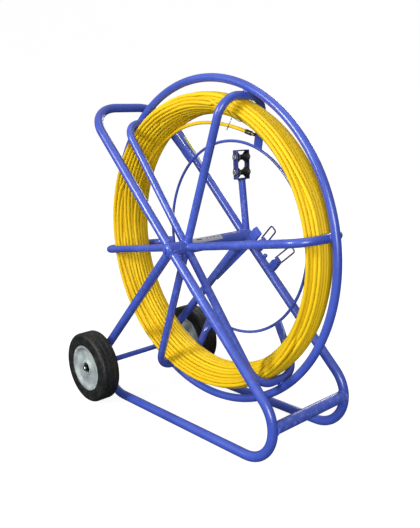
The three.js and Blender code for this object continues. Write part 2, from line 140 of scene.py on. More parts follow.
def carried_normals(tangents, closed):
    """A normal at each station that turns as little as it can from one station to the next."""
    helper = np.eye(3)[np.argmin(np.abs(tangents[0]))]
    normals = [unit(np.cross(tangents[0], helper))]
    for tangent in tangents[1:]:
        normals.append(unit(normals[-1] - tangent * (normals[-1] @ tangent)))
    normals = np.array(normals)
    if closed:
        last = unit(normals[-1] - tangents[0] * (normals[-1] @ tangents[0]))
        side = np.cross(tangents[0], normals[0])
        twist = math.atan2(last @ side, last @ normals[0])
        angles = -twist * np.arange(len(tangents)) / len(tangents)
        sides = np.cross(tangents, normals)
        normals = normals * np.cos(angles)[:, None] + sides * np.sin(angles)[:, None]
    return normals


def swept(points, radius, sides=32, closed=False):
    """Vertices and faces of a round bar along points. The radius is one number, or one for each point."""
    points = np.asarray(points, float)
    tangents = tangents_of(points, closed)
    normals = carried_normals(tangents, closed)
    across = np.cross(tangents, normals)
    radii = np.broadcast_to(np.asarray(radius, float), (len(points),))[:, None, None]
    angle = full_turn(sides)
    spread = normals[:, None] * np.cos(angle)[None, :, None] + across[:, None] * np.sin(angle)[None, :, None]
    verts = (points[:, None] + radii * spread).reshape(-1, 3)
    rings = len(points) if closed else len(points) - 1
    i, j = np.meshgrid(np.arange(rings), np.arange(sides), indexing="ij")
    a, b = i * sides + j, i * sides + (j + 1) % sides
    shift = ((i + 1) % len(points)) * sides
    faces = np.stack([a, b, shift + (j + 1) % sides, shift + j], -1).reshape(-1, 4).tolist()
    if not closed:
        first = list(range(sides))
        faces += [first[::-1], [v + (len(points) - 1) * sides for v in first]]
    return verts, faces


def merged(parts):
    """One list of vertices and one of faces from several."""
    verts, faces, start = [], [], 0
    for part_verts, part_faces in parts:
        verts.append(np.asarray(part_verts, float))
        faces += [[v + start for v in face] for face in part_faces]
        start += len(part_verts)
    return np.concatenate(verts), faces


def eased(profile, radius, closed=True, steps=4):
    """A profile with each of its corners rounded. The radius is one number, or one for each corner."""
    points = [np.asarray(p, float) for p in profile]
    radii = list(radius) if hasattr(radius, "__len__") else [radius] * len(points)
    made = []
    for k, corner in enumerate(points):
        if not closed and k in (0, len(points) - 1):
            made.append(corner)
            continue
        before, after = points[k - 1], points[(k + 1) % len(points)]
        room = 0.48 * min(np.linalg.norm(before - corner), np.linalg.norm(after - corner))
        reach = min(radii[k], room)
        if reach < 1e-3:
            made.append(corner)
            continue
        start, end = corner + unit(before - corner) * reach, corner + unit(after - corner) * reach
        for step in range(steps + 1):
            t = step / steps
            made.append(start * (1 - t) ** 2 + corner * 2 * t * (1 - t) + end * t * t)
    return np.array(made)


def turned(profile, segments=64, closed=True):
    """A solid of revolution about the Y axis from (radius, y) points."""
    profile = np.asarray(profile, float)
    angle = full_turn(segments)
    verts = np.stack([
        profile[:, 0][:, None] * np.cos(angle),
        np.broadcast_to(profile[:, 1][:, None], (len(profile), segments)),
        profile[:, 0][:, None] * np.sin(angle),
    ], -1).reshape(-1, 3)
    rows = len(profile) if closed else len(profile) - 1
    faces = []
    for i in range(rows):
        after = (i + 1) % len(profile)
        for j in range(segments):
            k = (j + 1) % segments
            faces.append([i * segments + j, i * segments + k, after * segments + k, after * segments + j])
    return verts, faces


def sleeve_profile(bore, radius, start, end):
    return [(bore, start), (radius, start), (radius, end), (bore, end)]


def placed(part, origin=(0, 0, 0), matrix=None):
    verts, faces = part
    verts = np.asarray(verts, float)
    if matrix is not None:
        verts = verts @ np.asarray(matrix, float).T
    return verts + np.asarray(origin, float), faces


def clean(bm):
    bmesh.ops.remove_doubles(bm, verts=bm.verts, dist=1e-6)
    bmesh.ops.dissolve_degenerate(bm, edges=bm.edges, dist=1e-7)
    bmesh.ops.recalc_face_normals(bm, faces=bm.faces)


def piece(name, part, material, body, sharp=38, replaces=()):
    """A Blender object from millimetre vertices and faces, riding on a CAD body."""
    verts, faces = part
    mesh = bpy.data.meshes.new(name)
    mesh.from_pydata((np.asarray(verts) * MM).tolist(), [], faces)
    bm = bmesh.new()
    bm.from_mesh(mesh)
    clean(bm)
    bm.to_mesh(mesh)
    bm.free()
    mesh.shade_smooth()
    mesh.set_sharp_from_angle(angle=math.radians(sharp))
    obj = bpy.data.objects.new(name, mesh)
    bpy.context.scene.collection.objects.link(obj)
    mesh.materials.append(material)
    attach(obj, body)
    if replaces:
        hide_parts(*replaces)
    return obj


def softened(node, material, body, width=0.8, segments=3):
    """Stands for a CAD node: the same faces, joined into flats and with every sharp edge rounded."""
    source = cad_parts[node]
    mesh = source.data.copy()
    bm = bmesh.new()
    bm.from_mesh(mesh)
    bmesh.ops.remove_doubles(bm, verts=bm.verts, dist=1e-5)
    bmesh.ops.dissolve_limit(bm, angle_limit=math.radians(1.5), verts=bm.verts, edges=bm.edges)
    edges = [e for e in bm.edges if len(e.link_faces) == 2 and e.calc_face_angle(0) > math.radians(32)]
    bmesh.ops.bevel(bm, geom=edges, offset=width * MM, segments=segments, profile=0.5, affect="EDGES",
                    clamp_overlap=True)
    clean(bm)
    bm.to_mesh(mesh)
    bm.free()
    mesh.name = node + "_finished"
    mesh.shade_smooth()
    mesh.set_sharp_from_angle(angle=math.radians(46))
    obj = bpy.data.objects.new(node + "_finished", mesh)
    bpy.context.scene.collection.objects.link(obj)
    mesh.materials.clear()
    mesh.materials.append(material)
    obj.modifiers.new("even_flats", "WEIGHTED_NORMAL").keep_sharp = True
    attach(obj, body)
    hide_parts(node)
    return obj


# ---- materials ----
class Shader:
    """A principled material and short ways to add nodes to it."""

    def __init__(self, name, slot, **values):
        self.material = bpy.data.materials.new(name)
        self.material["slot"] = slot
        self.material.use_nodes = True
        self.tree = self.material.node_tree
        self.surface = self.tree.nodes["Principled BSDF"]
        for key, value in values.items():
            self.surface.inputs[key.replace("_", " ")].default_value = value
        self.place = self.node("ShaderNodeTexCoord").outputs["Object"]

    def node(self, kind, **settings):
        made = self.tree.nodes.new(kind)
        for key, value in settings.items():
            setattr(made, key, value)
        return made

    def join(self, source, target):
        self.tree.links.new(source, target)

    def noise(self, scale, detail=3.0, roughness=0.55, stretch=(1, 1, 1)):
        mapping = self.node("ShaderNodeMapping")
        mapping.inputs["Scale"].default_value = stretch
        self.join(self.place, mapping.inputs["Vector"])
        made = self.node("ShaderNodeTexNoise")
        made.inputs["Scale"].default_value = scale
        made.inputs["Detail"].default_value = detail
        made.inputs["Roughness"].default_value = roughness
        self.join(mapping.outputs["Vector"], made.inputs["Vector"])
        return made.outputs["Fac"]

    def ramp(self, value, low, high, low_out=0.0, high_out=1.0):
        made = self.node("ShaderNodeMapRange")
        for key, number in zip(("From Min", "From Max", "To Min", "To Max"), (low, high, low_out, high_out)):
            made.inputs[key].default_value = number
        self.join(value, made.inputs["Value"])
        return made.outputs["Result"]

    def mix(self, factor, first, second):
        made = self.node("ShaderNodeMix", data_type="RGBA", blend_type="MIX")
        for key, value in (("Factor", factor), ("A", first), ("B", second)):
            sockets = [s for s in made.inputs if s.name == key and s.enabled]
            if isinstance(value, (tuple, float, int)):
                sockets[0].default_value = value
            else:
                self.join(value, sockets[0])
        return [s for s in made.outputs if s.enabled][0]

    def math(self, operation, first, second):
        made = self.node("ShaderNodeMath", operation=operation)
        for socket, value in zip(made.inputs, (first, second)):
            if isinstance(value, (float, int)):
                socket.default_value = value
            else:
                self.join(value, socket)
        return made.outputs[0]

    def edges(self, low=0.52, high=0.6):
        """About 1 on outer edges and 0 elsewhere."""
        pointiness = self.node("ShaderNodeNewGeometry").outputs["Pointiness"]
        return self.ramp(pointiness, low, high)

    def bump(self, height, strength, distance):
        made = self.node("ShaderNodeBump")
        made.inputs["Strength"].default_value = strength
        made.inputs["Distance"].default_value = distance
        self.join(height, made.inputs["Height"])
        self.join(made.outputs["Normal"], self.surface.inputs["Normal"])

    def finish(self, colour=None, roughness=None):
        if colour is not None:
            self.join(colour, self.surface.inputs["Base Color"])
        if roughness is not None:
            self.join(roughness, self.surface.inputs["Roughness"])
        return self.material


def srgb(red, green, blue):
    """A linear colour from 0 to 255 display values."""
    linear = [((c / 255 + 0.055) / 1.055) ** 2.4 if c > 10 else c / 3295 for c in (red, green, blue)]
    return (*linear, 1.0)


def paint(name, slot, colour, deep, wear_and_glint, gloss=0.3):
    """Powder coat: slow drifts of tone, a fine orange peel, and paint rubbed lighter where edges stand out.
    On the welds, the lighter tone in the specks and on the edges is a painted highlight for glints on the
    beads.
    """
    shader = Shader(name, slot, Coat_Weight=0.45, Coat_Roughness=0.26, Specular_IOR_Level=0.5)
    drift = shader.ramp(shader.noise(9, 4), 0.35, 0.68)
    tone = shader.mix(drift, deep, colour)
    # On the welds, the lighter tone that the specks and edges take is a painted highlight: glints on the
    # beads.
    speck = shader.ramp(shader.noise(420, 2), 0.66, 0.74, 0, 0.3)
    tone = shader.mix(speck, tone, wear_and_glint)
    edge_wear_and_glint = shader.math("MULTIPLY", shader.edges(), shader.ramp(shader.noise(70, 5, 0.7), 0.5, 0.66, 0, 0.55))
    tone = shader.mix(edge_wear_and_glint, tone, wear_and_glint)
    roughness = shader.ramp(shader.noise(26, 5), 0.3, 0.7, gloss - 0.06, gloss + 0.1)
    shader.bump(shader.noise(520, 2), 0.12, 0.0004)
    return shader.finish(tone, roughness)


def rod_sheath():
    """Smooth extruded sheath: each turn has its own tone, with long faint scuffs and dust."""
    shader = Shader("rod_sheath", "rod_yellow", Specular_IOR_Level=0.26)
    turn = shader.node("ShaderNodeAttribute", attribute_name="turn_tone").outputs["Fac"]
    tone = shader.mix(turn, srgb(224, 183, 14), srgb(240, 203, 26))
    dust = shader.ramp(shader.noise(22, 4, 0.6), 0.48, 0.72, 0, 0.22)
    tone = shader.mix(dust, tone, srgb(220, 182, 20))
    scuff = shader.ramp(shader.noise(300, 3, 0.6), 0.66, 0.78, 0, 0.08)
    tone = shader.mix(scuff, tone, srgb(170, 138, 40))
    roughness = shader.ramp(shader.noise(60, 4), 0.3, 0.7, 0.46, 0.58)
    shader.bump(shader.noise(700, 3), 0.03, 0.0002)
    return shader.finish(tone, roughness)


def tyre_rubber():
    """Solid rubber: grey bloom in patches, dust on the tread and a fine grain."""
    shader = Shader("tyre_rubber", "tyre_rubber", Specular_IOR_Level=0.4)
    bloom = shader.ramp(shader.noise(16, 5, 0.6), 0.38, 0.7)
    tone = shader.mix(bloom, srgb(14, 18, 16), srgb(26, 29, 29))
    dust = shader.ramp(shader.noise(120, 4, 0.7), 0.5, 0.76, 0, 0.5)
    tone = shader.mix(dust, tone, srgb(84, 80, 80))
    roughness = shader.ramp(shader.noise(45, 4), 0.3, 0.7, 0.42, 0.68)
    shader.bump(shader.noise(900, 4, 0.7), 0.35, 0.0004)
    return shader.finish(tone, roughness)


def rim_plastic():
    """Light grey moulding with grime in random patches and a satin, slightly uneven surface."""
    shader = Shader("rim_plastic", "rim_grey", Coat_Weight=0.2, Coat_Roughness=0.3, Specular_IOR_Level=0.5)
    smear = shader.ramp(shader.noise(22, 4, 0.6), 0.36, 0.66)
    tone = shader.mix(smear, srgb(132, 136, 146), srgb(182, 194, 188))
    grime = shader.ramp(shader.noise(75, 5, 0.7), 0.52, 0.76, 0, 0.5)
    tone = shader.mix(grime, tone, srgb(112, 116, 122))
    # Lighter edges: a painted highlight for the bright lip round the rim.
    edge_highlight = shader.math("MULTIPLY", shader.edges(), 0.5)
    tone = shader.mix(edge_highlight, tone, srgb(226, 230, 228))
    roughness = shader.ramp(shader.noise(30, 4), 0.3, 0.7, 0.32, 0.5)
    shader.bump(shader.noise(400, 3), 0.15, 0.0003)
    return shader.finish(tone, roughness)


def plated_steel(name, first, second, dull_tone):
    """Bright plating: two faint tints, dull patches and fine scratches."""
    shader = Shader(name, "zinc", Metallic=0.92)
    tint = shader.ramp(shader.noise(130, 3), 0.4, 0.62)
    tone = shader.mix(tint, first, second)
    dull = shader.ramp(shader.noise(320, 4, 0.7), 0.55, 0.75, 0, 0.5)
    tone = shader.mix(dull, tone, dull_tone)
    roughness = shader.ramp(shader.noise(240, 4), 0.3, 0.7, 0.2, 0.42)
    shader.bump(shader.noise(900, 3, stretch=(1, 8, 1)), 0.12, 0.0003)
    return shader.finish(tone, roughness)


def black_nylon():
    """Satin black nylon with grey rub marks on its edges."""
    shader = Shader("black_nylon", "black_nylon", Specular_IOR_Level=0.5)
    mottle = shader.ramp(shader.noise(150, 4), 0.4, 0.7)
    tone = shader.mix(mottle, srgb(14, 15, 18), srgb(34, 35, 38))
    rub = shader.math("MULTIPLY", shader.edges(0.5, 0.58), 0.45)
    tone = shader.mix(rub, tone, srgb(84, 86, 90))
    roughness = shader.ramp(shader.noise(200, 4), 0.3, 0.7, 0.28, 0.45)
    shader.bump(shader.noise(800, 3), 0.2, 0.0003)
    return shader.finish(tone, roughness)


def label_film(name, slot, colour):
    """Printed vinyl with nothing on it but faint soiling."""
    shader = Shader(name, slot, Coat_Weight=0.3, Coat_Roughness=0.15)
    soil = shader.ramp(shader.noise(110, 5, 0.65), 0.45, 0.75, 0, 0.5)
    tone = shader.mix(soil, colour, tuple(c * 0.6 for c in colour[:3]) + (1.0,))
    roughness = shader.ramp(shader.noise(60, 3), 0.3, 0.7, 0.28, 0.42)
    shader.bump(shader.noise(240, 3), 0.15, 0.0004)
    return shader.finish(tone, roughness)


FRAME_BLUE = paint("frame_blue", "frame_paint", srgb(68, 91, 192), srgb(58, 78, 174), srgb(132, 148, 222))
# The welds get a lighter blue than the frame, with a light lavender edge tone: a painted highlight for the
# glints on the beads.
WELD_PAINTED_HIGHLIGHT = paint("weld_painted_highlight", "frame_paint", srgb(88, 108, 212), srgb(64, 84, 182), srgb(168, 180, 244), 0.2)
# A darker copy of the frame's blue: painted shade on the guide head, its weld and the latch bails.
SHADED_GUIDE_BLUE = paint("guide_blue_painted_shade", "guide_paint", srgb(44, 56, 122), srgb(32, 42, 98), srgb(96, 108, 160), 0.36)
ROD_YELLOW = rod_sheath()
TYRE_RUBBER = tyre_rubber()
RIM_GREY = rim_plastic()
ZINC = plated_steel("plated_steel", srgb(196, 202, 214), srgb(214, 208, 188), srgb(128, 128, 128))
DULL_BRASS = plated_steel("dull_brass", srgb(150, 132, 96), srgb(120, 108, 88), srgb(84, 76, 64))
TIE_WIRE = plated_steel("tie_wire", srgb(120, 122, 126), srgb(104, 98, 90), srgb(70, 68, 66))
# Dark steel: on the wheel nuts it is painted shade, so that the hub round the bright stub reads dark; on the
# hub label's dashes it is print.
BLACK_SHADE_AND_PRINT = plated_steel("black_shade_and_print", srgb(52, 52, 56), srgb(40, 40, 42), srgb(28, 28, 28))
NYLON = black_nylon()
STICKER_YELLOW = label_film("sticker_yellow", "frame_paint", srgb(206, 206, 50))
STICKER_WHITE = label_film("sticker_white", "frame_paint", srgb(208, 214, 224))
STICKER_GREY = label_film("sticker_grey", "frame_paint", srgb(176, 182, 194))


# ---- welds ----
BEAD_SIDES = 9
RIPPLE_PITCH = 2.4


def bead(points, radius, seed, closed=True):
    """A weld bead along a curve: overlapping ripples of slightly uneven size."""
    points = np.asarray(points, float)
    steps = np.linalg.norm(np.diff(points, axis=0, append=points[:1] if closed else points[-1:]), axis=1)
    along = np.concatenate([[0], np.cumsum(steps)[:-1]])
    total = steps.sum()
    pitch = total / max(3, round(total / RIPPLE_PITCH))
    ripple = (along / pitch) % 1.0
    slow = np.sin(along / total * 2 * math.pi * 3 + seed)
    quick = np.sin(along / total * 2 * math.pi * 7 + 2 * seed)
    wander = slow + 0.6 * quick
    radii = radius * (0.93 + 0.16 * ripple ** 2 + 0.07 * wander)
    if not closed:
        ends = np.minimum(along, total - along) / (1.5 * radius)
        radii = radii * np.sqrt(np.clip(ends, 0.02, 1))
    return swept(points, radii, BEAD_SIDES, closed)


def dense(points, closed=True, spacing=0.75):
    """The same curve with evenly spaced points."""
    points = np.asarray(points, float)
    if closed:
        points = np.concatenate([points, points[:1]])
    lengths = np.concatenate([[0], np.cumsum(np.linalg.norm(np.diff(points, axis=0), axis=1))])
    count = max(8, int(lengths[-1] / spacing))
    where = np.linspace(0, lengths[-1], count, endpoint=not closed)
    return np.stack([np.interp(where, lengths, points[:, k]) for k in range(3)], -1)


def saddle(origin, direction, across, radius, host):
    """Where a tube that starts on a host tube's axis comes out through the host's surface."""
    direction, across = unit(direction), unit(across)
    side = np.cross(direction, across)
    angle = full_turn(72)
    reach = np.sqrt(np.maximum(host ** 2 - (radius * np.cos(angle)) ** 2, 1))
    return (np.asarray(origin, float) + direction * reach[:, None]
            + radius * (side * np.cos(angle)[:, None] + across * np.sin(angle)[:, None]))


def touch(contact, along_first, along_second, outward, first, second, size):
    """A small loop between two crossing tubes that touch at a point."""
    angle = full_turn(48)
    u, v = size * np.cos(angle), size * np.sin(angle)
    below = -(first - np.sqrt(first ** 2 - v ** 2))
    above = second - np.sqrt(second ** 2 - u ** 2)
    middle = (below + above) / 2
    return (np.asarray(contact, float) + unit(along_first) * u[:, None] + unit(along_second) * v[:, None]
            + unit(outward) * middle[:, None])


# ---- the frame ----
def hub_point(y, degrees, distance):
    angle = math.radians(degrees)
    return np.array([distance * math.cos(angle), y, HUB_HEIGHT + distance * math.sin(angle)])


HANDLE_ANGLE = math.degrees(math.atan2(HANDLE_HEIGHT - HUB_HEIGHT, HANDLE_CORNER_X))
TUBE_START = COLLAR_RADIUS + 0.5


def make_side_loop(label, side):
    y = side * FRAME_SIDE
    corners = [hub_point(y, -135, TUBE_START), (-LOOP_CORNER_X, y, FRAME_TUBE),
               (LOOP_CORNER_X, y, FRAME_TUBE), hub_point(y, -45, TUBE_START)]
    node = f"side_loop_{label}"
    tube = swept(bent_path(corners, (REAR_BEND, FRONT_BEND), 24), FRAME_TUBE, 40)
    piece(f"{node}_tube", tube, FRAME_BLUE, "frame", replaces=[node])


def make_axle_collar(label, side):
    node = f"axle_collar_{label}"
    profile = eased(sleeve_profile(AXLE_ROD + GAP, COLLAR_RADIUS, *COLLAR_SPAN), 1.2)
    collar = placed(turned(profile * (1, side), 64), HUB)
    piece(f"{node}_turned", collar, FRAME_BLUE, "frame", replaces=[node])


def make_handle():
    near_foot, far_foot = (hub_point(y, HANDLE_ANGLE, TUBE_START) for y in (-FRAME_SIDE, FRAME_SIDE))
    corners = [near_foot, (HANDLE_CORNER_X, -FRAME_SIDE, HANDLE_HEIGHT),
               (HANDLE_CORNER_X, FRAME_SIDE, HANDLE_HEIGHT), far_foot]
    handle = swept(bent_path(corners, (HANDLE_BEND, HANDLE_BEND), 24), FRAME_TUBE, 40)
    piece("handle_bow_tube", handle, FRAME_BLUE, "frame", replaces=["handle_bow"])


def make_crossbar():
    ends = [(CROSSBAR_X, side * (FRAME_SIDE - CROSSBAR_SHORT), CROSSBAR_HEIGHT) for side in (-1, 1)]
    bar = swept(ends, CROSSBAR_RADIUS, 40)
    piece("front_crossbar_tube", bar, FRAME_BLUE, "frame", replaces=["front_crossbar"])


def make_frame_tubes():
    for label, side in ENDS:
        make_side_loop(label, side)
        make_axle_collar(label, side)
    make_handle()
    make_crossbar()
    softened("strut_gusset", FRAME_BLUE, "frame", 1.0)


def gusset_welds():
    """Two long beads between the far rear strut and the plate that stands along it."""
    down, below = np.array([-SQUARE, 0, -SQUARE]), np.array([SQUARE, 0, -SQUARE])
    middle = HUB + (0, FRAME_SIDE, 0)
    beads = []
    for side, depth, radius, seed in ((5.6, 11.9, 1.5, 0.7), (11.2, 9.2, 2.6, 2.9)):
        ends = [middle + down * s + below * depth + (0, side, 0) for s in (19, 198)]
        beads.append(bead(dense(ends, closed=False), radius, seed, closed=False))
    return beads


def hub_welds(side):
    """Round what stands on a collar: the loop's legs, the handle and, on the far side, the guide's arm."""
    centre = np.array([0, side * FRAME_SIDE, HUB_HEIGHT])
    beads = []
    for degrees, seed in ((-135, 1.0), (-45, 2.1), (HANDLE_ANGLE, 3.7)):
        direction = hub_point(0, degrees, 1) - HUB
        curve = saddle(centre, direction, (0, 1, 0), FRAME_TUBE, COLLAR_RADIUS)
        beads.append(bead(dense(curve), 2.3, seed + side))
    if side > 0:
        arm = saddle((0, ARM_SIDE, HUB_HEIGHT), (0, 0, 1), (0, 1, 0), ARM_RADIUS, COLLAR_RADIUS)
        beads += [bead(dense(arm), 2.0, 5.2), *gusset_welds()]
    return beads


def foot_welds(side):
    """Where the crossbar and the wheel axle meet a side loop."""
    angle = full_turn(96)
    inset = np.sqrt(np.maximum(FRAME_TUBE ** 2 - (CROSSBAR_RADIUS * np.cos(angle)) ** 2, 0))
    ring = np.stack([
        CROSSBAR_X + CROSSBAR_RADIUS * np.cos(angle),
        side * (FRAME_SIDE - np.maximum(inset, CROSSBAR_SHORT)),
        CROSSBAR_HEIGHT + CROSSBAR_RADIUS * np.sin(angle),
    ], -1)
    contact = (WHEEL_AXLE_X - WHEEL_AXLE - 0.6, side * FRAME_SIDE, WHEEL_RADIUS - 2)
    loop = touch(contact, (0, 1, 0), (0, 0, 1), (1, 0, 0), FRAME_TUBE, WHEEL_AXLE, 5.5)
    return [bead(dense(ring), 2.0, 1.4 + side), bead(dense(loop), 2.2, 4.4 + side)]


def make_frame_welds():
    for label, side in ENDS:
        # The beads use the weld paint, whose lighter blue is a painted highlight.
        piece(f"hub_welds_{label}", merged(hub_welds(side)), WELD_PAINTED_HIGHLIGHT, "frame")
        piece(f"foot_welds_{label}", merged(foot_welds(side)), WELD_PAINTED_HIGHLIGHT, "frame")


# ---- the wheels ----
def tyre_profile():
    half = WHEEL_WIDTH / 2
    seat, tread = RIM_RADIUS + GAP, WHEEL_RADIUS
    groove = []
    for y in (-9, 9):
        groove += [(tread, y - 1.6), (tread - 1.1, y - 0.8), (tread - 1.1, y + 0.8), (tread, y + 1.6)]
    shoulder = [(seat, half), (tread - 8, half), (tread - 3, half - 2.5), (tread, half - 7)]
    corners = [(radius, -y) for radius, y in shoulder] + groove + shoulder[::-1]
    radii = [1, 3, 2.5, 2.5, *[0.4] * len(groove), 2.5, 2.5, 3, 1]
    return eased(corners, radii)


def rim_profile():
    lip = WHEEL_WIDTH / 2 - 1
    bore = BEARING_RADIUS + GAP
    half = [(bore, 24), (20, 24), (23, 19), (55, 19), (61, lip), (RIM_RADIUS, lip)]
    corners = half + [(radius, -y) for radius, y in reversed(half)]
    radii = [0.8, 1.5, 2, 6, 1.5, 0.6]
    return eased(corners, radii + radii[::-1], steps=6)


def make_wheel(label, side):
    centre = (WHEEL_AXLE_X, side * WHEEL_SIDE, WHEEL_RADIUS)
    bearing = eased(sleeve_profile(WHEEL_STUB + GAP, BEARING_RADIUS, -BEARING_HALF, BEARING_HALF), 1.0)
    for node, part, material in ((f"tyre_{label}", turned(tyre_profile(), 120), TYRE_RUBBER),
                                 (f"wheel_rim_{label}", turned(rim_profile(), 96), RIM_GREY),
                                 (f"wheel_bearing_{label}", turned(bearing, 48), NYLON)):
        piece(f"{node}_moulded", placed(part, centre), material, f"wheel_{label}", replaces=[node])


def make_wheel_spacer(label, side):
    start, end = FRAME_SIDE + FRAME_TUBE + GAP, WHEEL_SIDE - BEARING_HALF - GAP
    spacer = eased(sleeve_profile(WHEEL_AXLE + GAP, 12, start, end), 0.8) * (1, side)
    spacer = placed(turned(spacer, 40), (WHEEL_AXLE_X, 0, WHEEL_RADIUS))
    piece(f"wheel_spacer_{label}_turned", spacer, ZINC, "frame", replaces=[f"wheel_spacer_{label}"])


def make_wheels():
    for label, side in ENDS:
        make_wheel(label, side)
        # The nut is dark as painted shade round the bright stub.
        softened(f"wheel_nut_{label}", BLACK_SHADE_AND_PRINT, "frame", 0.8)
        make_wheel_spacer(label, side)


def make_wheel_axle():
    """A painted bar with a bare turned stub at each end for the wheel's bearing."""
    middle = (WHEEL_AXLE_X, 0, WHEEL_RADIUS)
    shoulder = WHEEL_SIDE - BEARING_HALF - GAP
    end = WHEEL_SIDE + WHEEL_WIDTH / 2 + 4.5
    bar = [(0, -shoulder), (WHEEL_AXLE, -shoulder), (WHEEL_AXLE, shoulder), (0, shoulder)]
    bar = placed(turned(eased(bar, 0.6, closed=False), 40, closed=False), middle)
    piece("wheel_axle_bar", bar, FRAME_BLUE, "frame", replaces=["wheel_axle"])
    for label, side in ENDS:
        stub = [(0, shoulder), (WHEEL_STUB, shoulder), (WHEEL_STUB, end - 1), (WHEEL_STUB - 1, end), (0, end)]
        stub = eased(stub, 0.5, closed=False) * (1, side)
        piece(f"wheel_stub_{label}", placed(turned(stub, 40, closed=False), middle), ZINC, "frame")


# ---- the reel's cage ----
def spoke_rotation(index):
    angle = math.radians(SPOKE_PHASE + 360 / SPOKE_COUNT * index)
    cos, sin = math.cos(angle), math.sin(angle)
    return np.array([[cos, 0, -sin], [0, 1, 0], [sin, 0, cos]])


def far_run_side(x):
    """The side of a spoke's far run, which leans back towards the middle of the cage."""
    return RING_SIDE - (x - SPOKE_END) * SPOKE_SLANT


def spoke_part():
    """A spoke in the cage's XY plane, squashed and flared where it meets the far ring."""
    corners = [(HUB_TUBE_RADIUS + 0.8, SPOKE_SIDE, 0), (CROSSING_RADIUS, SPOKE_SIDE, 0),
               (CROSSING_RADIUS, far_run_side(CROSSING_RADIUS), 0), (SPOKE_END, RING_SIDE, 0)]
    path = bent_path(corners, SPOKE_BENDS, 18)
    last_run = [(x, far_run_side(x), 0) for x in np.linspace(path[-2][0], SPOKE_END, 24)[1:]]
    verts, faces = swept(np.concatenate([path[:-1], last_run]), CAGE_TUBE, 32)
    middle = far_run_side(verts[:, 0])
    far = (np.abs(verts[:, 1] - middle) < 2 * CAGE_TUBE) & (verts[:, 0] < RING_RADIUS + 70)
    amount = np.clip((RING_RADIUS + 55 - verts[:, 0]) / 25, 0, 1)
    amount = np.where(far, amount * amount * (3 - 2 * amount), 0)
    verts[:, 1] = middle + (verts[:, 1] - middle) * (1 - 0.62 * amount)
    verts[:, 2] *= 1 + 0.45 * amount
    return verts, faces


def ring_path(radius, y, count):
    angle = full_turn(count)
    return np.stack([radius * np.cos(angle), np.full(count, y), radius * np.sin(angle)], -1) + HUB


def make_cage():
    tube = eased(sleeve_profile(HUB_TUBE_BORE, HUB_TUBE_RADIUS, -HUB_TUBE_END, HUB_TUBE_END), 1.2)
    piece("hub_tube_turned", placed(turned(tube, 64), HUB), FRAME_BLUE, "reel", replaces=["hub_tube"])
    for index in range(SPOKE_COUNT):
        part = placed(spoke_part(), HUB, spoke_rotation(index))
        piece(f"spoke_{index + 1}_tube", part, FRAME_BLUE, "reel", replaces=[f"spoke_{index + 1}"])
    hoop = swept(ring_path(HOOP_RADIUS, HOOP_SIDE, 200), CAGE_TUBE, 32, closed=True)
    piece("hoop_tube", hoop, FRAME_BLUE, "reel", replaces=["hoop"])
    ring = swept(ring_path(RING_RADIUS, RING_SIDE, 160), RING_ROD, 20, closed=True)
    piece("far_ring_rod", ring, FRAME_BLUE, "reel", replaces=["far_ring"])


def spoke_foot_weld(turn, seed):
    """Where a spoke stands on the hub tube."""
    foot = saddle(HUB + (0, SPOKE_SIDE, 0), turn @ (1, 0, 0), (0, 1, 0), CAGE_TUBE, HUB_TUBE_RADIUS)
    return bead(dense(foot), 2.2, seed)


def crossing_weld(turn, seed):
    """Where a spoke touches the hoop."""
    out, around = turn @ (1, 0, 0), turn @ (0, 0, 1)
    contact = HUB + out * (CROSSING_RADIUS + CAGE_TUBE + 0.4) + np.array([0, HOOP_SIDE, 0])
    loop = touch(contact, (0, 1, 0), around, out, CAGE_TUBE, CAGE_TUBE, 6.5)
    return bead(dense(loop), 2.4, seed + 0.4)


def spoke_end_weld(turn, seed):
    """Where a spoke's squashed end meets the far ring."""
    angle = full_turn(60)
    rim = np.stack([np.full(60, RING_RADIUS + RING_ROD + 0.6), RING_SIDE + 3.0 * np.sin(angle),
                    13.5 * np.cos(angle)], -1)
    return bead(dense(placed((rim, []), HUB, turn)[0]), 1.7, seed + 0.9)


def make_cage_welds():
    for name, weld in (("reel_hub_welds", spoke_foot_weld), ("hoop_welds", crossing_weld),
                       ("far_ring_welds", spoke_end_weld)):
        beads = [weld(spoke_rotation(index), 1.7 * index) for index in range(SPOKE_COUNT)]
        # The beads use the weld paint, whose lighter blue is a painted highlight.
        piece(name, merged(beads), WELD_PAINTED_HIGHLIGHT, "reel")


# ---- the rod: one long curve wound inside the cage ----
WINDING_OUTLINE = [(394.1, -30), (390.5, -46), (383, -56), (376, -54), (362, -38), (350, -22), (339, 2),
                   (337.5, 34), (341, 43), (350, 52), (364, 52.5), (379, 43), (390, 27), (394.1, 8)]
OUTERMOST, NEAREST = 394, -75  # radius and y where the lattices of turns start
OVERFILL = 2.0  # how far outside a turn may start before the turns are eased apart
TURN_PITCH = 2 * ROD_RADIUS + 0.5
STATIONS = 96  # along each turn
SETTLING_STEPS = 160
WANDERING_STEPS = 64  # the first steps also pull each turn to its uneven place
TURN_START = math.radians(152)  # where the winding's ends lie, measured up from +X
LOOSE_ANGLE = math.radians(140)  # where the turns lie least evenly
FLAT_ANGLE = math.radians(35)  # the middle of the part where the near side lies flat
FLAT_POINT = (385, -32)  # radius and y of a point on that flat
FLAT_FACING = (0.7326, -0.6481, 0.2079)  # which way the flat faces


def outline_planes():
    """Outward normals and reaches of the winding's outline, drawn in by the rod's radius."""
    points = np.array(WINDING_OUTLINE, float)
    edges = np.roll(points, -1, 0) - points
    normals = unit(np.stack([edges[:, 1], -edges[:, 0]], -1))
    middle = points.mean(0)
    flip = np.sign(((points - middle) * normals).sum(1))
    normals *= flip[:, None]
    reaches = (points * normals).sum(1) - ROD_RADIUS - 0.25
    return normals, reaches


def kept_inside(places, normals, reaches):
    """The same places, with those outside the outline moved onto it."""
    for normal, reach in zip(normals, reaches):
        places = places - np.clip(places @ normal - reach, 0, None)[:, None] * normal
    return places


